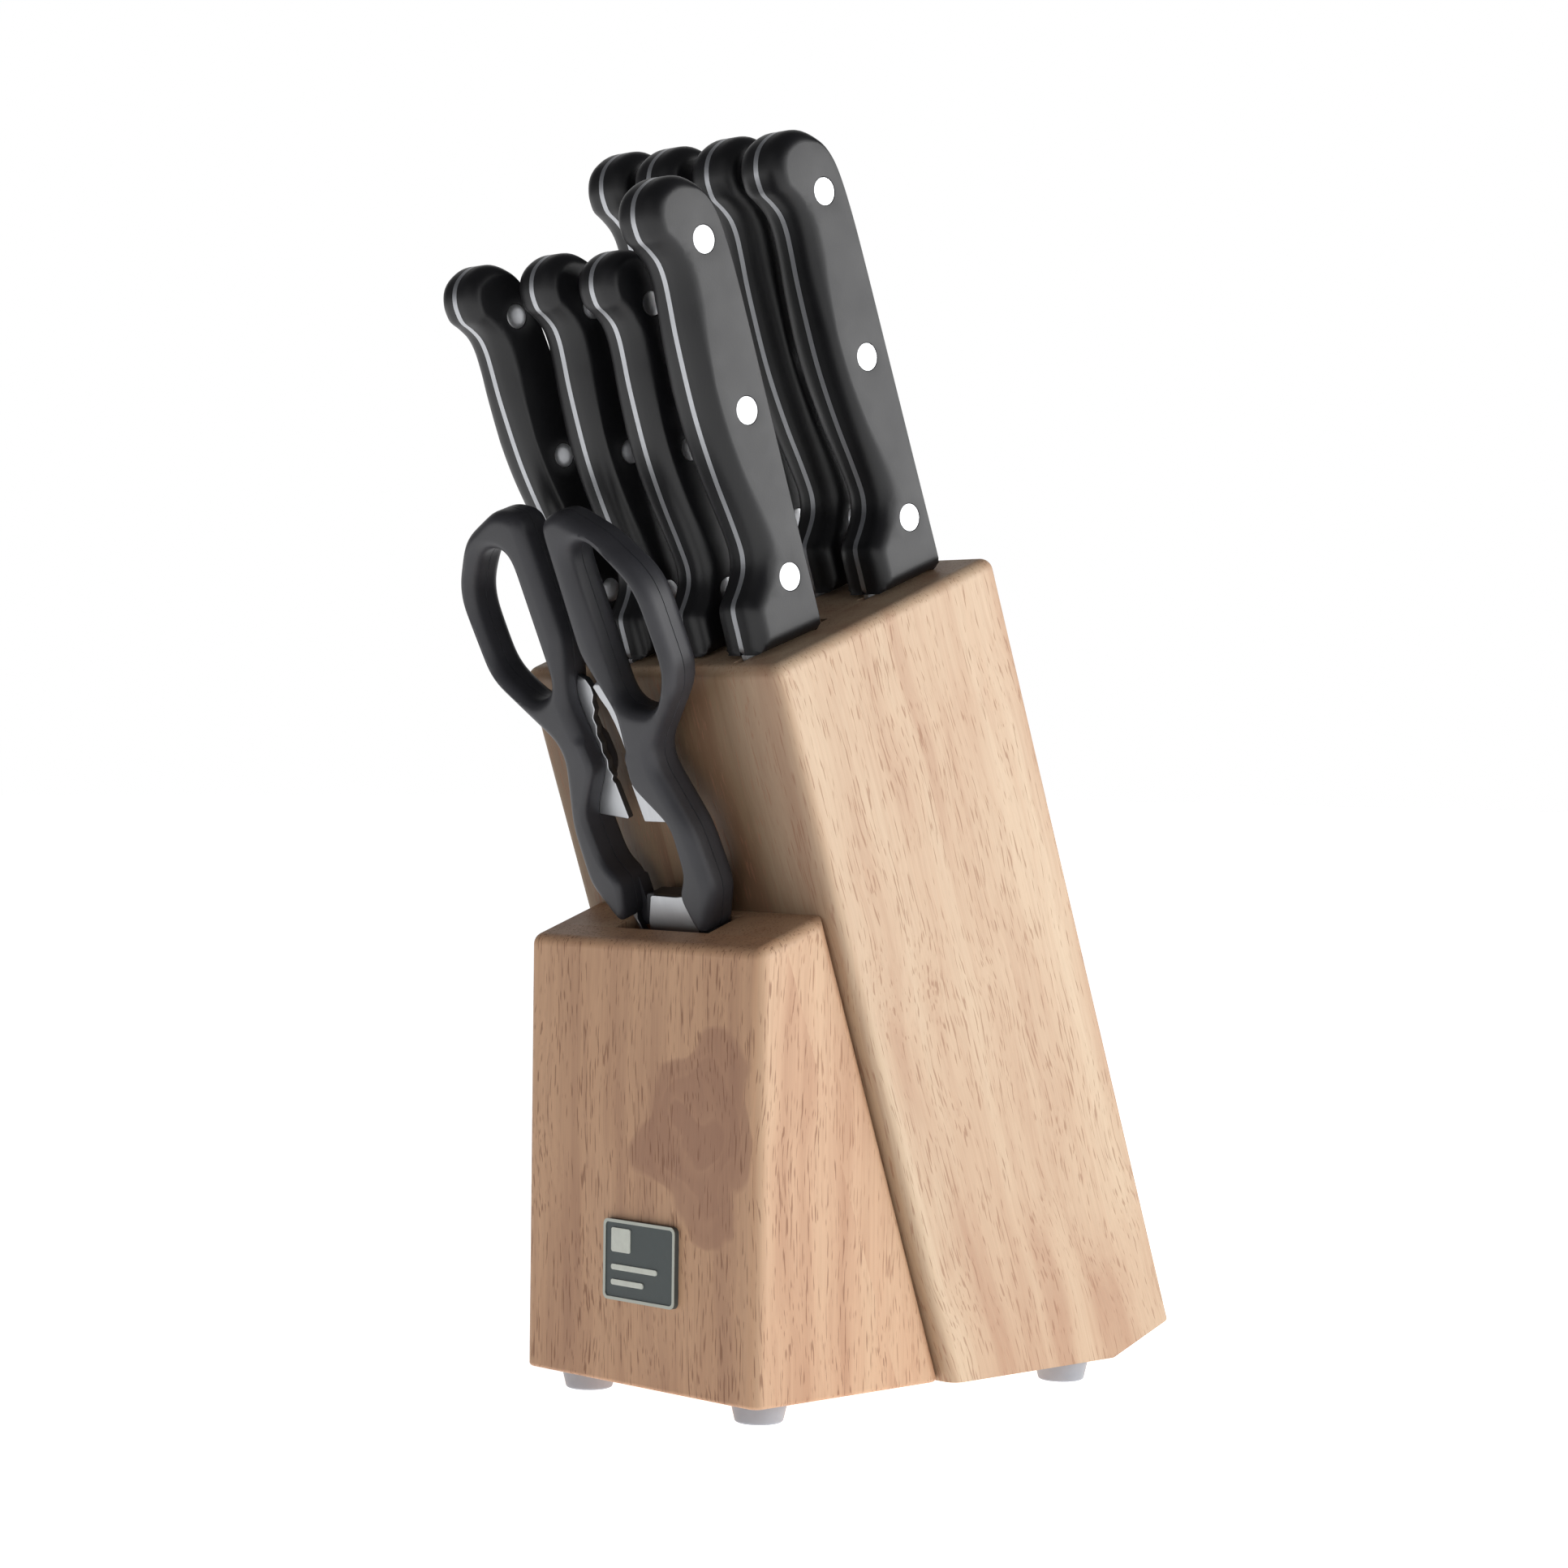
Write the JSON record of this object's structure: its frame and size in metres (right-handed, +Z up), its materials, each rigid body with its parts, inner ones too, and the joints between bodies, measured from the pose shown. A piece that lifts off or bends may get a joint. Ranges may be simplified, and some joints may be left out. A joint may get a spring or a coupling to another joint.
{
  "type": "knife block with knives",
  "caption": "Leaning wooden knife block with riveted full-tang knives in slots, a lower front block with a pocket for kitchen scissors, and soft feet.",
  "frame": {"origin": "centre of the whole object's footprint box, on the surface it stands on", "axes": "+X to the right seen from the front, +Y to the back, +Z up; the knives lean towards -Y"},
  "size_m": [0.095, 0.1858, 0.3178],
  "materials": {
    "rubberwood": "oiled, satin",
    "foot_rubber": "translucent, soft",
    "screw_steel": "plain",
    "badge_plate": "satin",
    "badge_bars": "satin",
    "blade_steel": "brushed",
    "rivet_metal": "ground flush",
    "handle_plastic": "fine moulded grain"
  },
  "bodies": {
    "block": {"left_cheek_board": "rubberwood", "left_inner_board": "rubberwood", "centre_board": "rubberwood", "right_inner_board": "rubberwood", "right_cheek_board": "rubberwood", "slot_strips_left_outer": "rubberwood", "slot_strips_left_inner": "rubberwood", "slot_strips_right_inner": "rubberwood", "slot_strips_right_outer": "rubberwood", "front_block_face": "rubberwood", "front_block_left_rail": "rubberwood", "front_block_right_rail": "rubberwood", "front_block_back_panel": "rubberwood", "foot_front_left": "foot_rubber", "foot_front_right": "foot_rubber", "foot_back_left": "foot_rubber", "foot_back_right": "foot_rubber", "foot_screws": "screw_steel", "badge_plate": "badge_plate", "badge_bars": "badge_bars"},
    "paring_knife": {"paring_knife_blade": "blade_steel", "paring_knife_left_scale": "handle_plastic", "paring_knife_right_scale": "handle_plastic", "paring_knife_rivets": "rivet_metal"},
    "vegetable_knife": {"vegetable_knife_blade": "blade_steel", "vegetable_knife_left_scale": "handle_plastic", "vegetable_knife_right_scale": "handle_plastic", "vegetable_knife_rivets": "rivet_metal"},
    "utility_knife": {"utility_knife_blade": "blade_steel", "utility_knife_left_scale": "handle_plastic", "utility_knife_right_scale": "handle_plastic", "utility_knife_rivets": "rivet_metal"},
    "cook_knife": {"cook_knife_blade": "blade_steel", "cook_knife_left_scale": "handle_plastic", "cook_knife_right_scale": "handle_plastic", "cook_knife_rivets": "rivet_metal"},
    "bread_knife": {"bread_knife_blade": "blade_steel", "bread_knife_left_scale": "handle_plastic", "bread_knife_right_scale": "handle_plastic", "bread_knife_rivets": "rivet_metal"},
    "carving_knife": {"carving_knife_blade": "blade_steel", "carving_knife_left_scale": "handle_plastic", "carving_knife_right_scale": "handle_plastic", "carving_knife_rivets": "rivet_metal"},
    "slicing_knife": {"slicing_knife_blade": "blade_steel", "slicing_knife_left_scale": "handle_plastic", "slicing_knife_right_scale": "handle_plastic", "slicing_knife_rivets": "rivet_metal"},
    "chef_knife": {"chef_knife_blade": "blade_steel", "chef_knife_left_scale": "handle_plastic", "chef_knife_right_scale": "handle_plastic", "chef_knife_rivets": "rivet_metal"},
    "scissors_back_half": {"scissors_back_blade": "blade_steel", "scissors_left_handle": "handle_plastic", "scissors_pivot_screw": "screw_steel", "scissors_pivot_nut": "screw_steel"},
    "scissors_front_half": {"scissors_front_blade": "blade_steel", "scissors_right_handle": "handle_plastic"}
  },
  "joints": [
    {"name": "paring_knife_slide", "type": "slide", "parent": "block", "child": "paring_knife", "axis": [0, -0.342, 0.9397], "range_m": [0, 0.1]},
    {"name": "vegetable_knife_slide", "type": "slide", "parent": "block", "child": "vegetable_knife", "axis": [0, -0.342, 0.9397], "range_m": [0, 0.107]},
    {"name": "utility_knife_slide", "type": "slide", "parent": "block", "child": "utility_knife", "axis": [0, -0.342, 0.9397], "range_m": [0, 0.137]},
    {"name": "cook_knife_slide", "type": "slide", "parent": "block", "child": "cook_knife", "axis": [0, -0.342, 0.9397], "range_m": [0, 0.177]},
    {"name": "bread_knife_slide", "type": "slide", "parent": "block", "child": "bread_knife", "axis": [0, -0.342, 0.9397], "range_m": [0, 0.212]},
    {"name": "carving_knife_slide", "type": "slide", "parent": "block", "child": "carving_knife", "axis": [0, -0.342, 0.9397], "range_m": [0, 0.212]},
    {"name": "slicing_knife_slide", "type": "slide", "parent": "block", "child": "slicing_knife", "axis": [0, -0.342, 0.9397], "range_m": [0, 0.202]},
    {"name": "chef_knife_slide", "type": "slide", "parent": "block", "child": "chef_knife", "axis": [0, -0.342, 0.9397], "range_m": [0, 0.212]},
    {"name": "scissors_slide", "type": "slide", "parent": "block", "child": "scissors_back_half", "axis": [0, -0.3746, 0.9272], "range_m": [0, 0.25]},
    {"name": "scissors_pivot", "type": "hinge", "parent": "scissors_back_half", "child": "scissors_front_half", "pos_m": [-0.00023, -0.03744, 0.10581], "axis": [0, 0.9397, 0.342], "range_deg": [0, 32.8]}
  ],
  "couplings": [
    {"joint": "scissors_pivot", "follows": "scissors_slide", "rad_per_m": 2.2689}
  ]
}
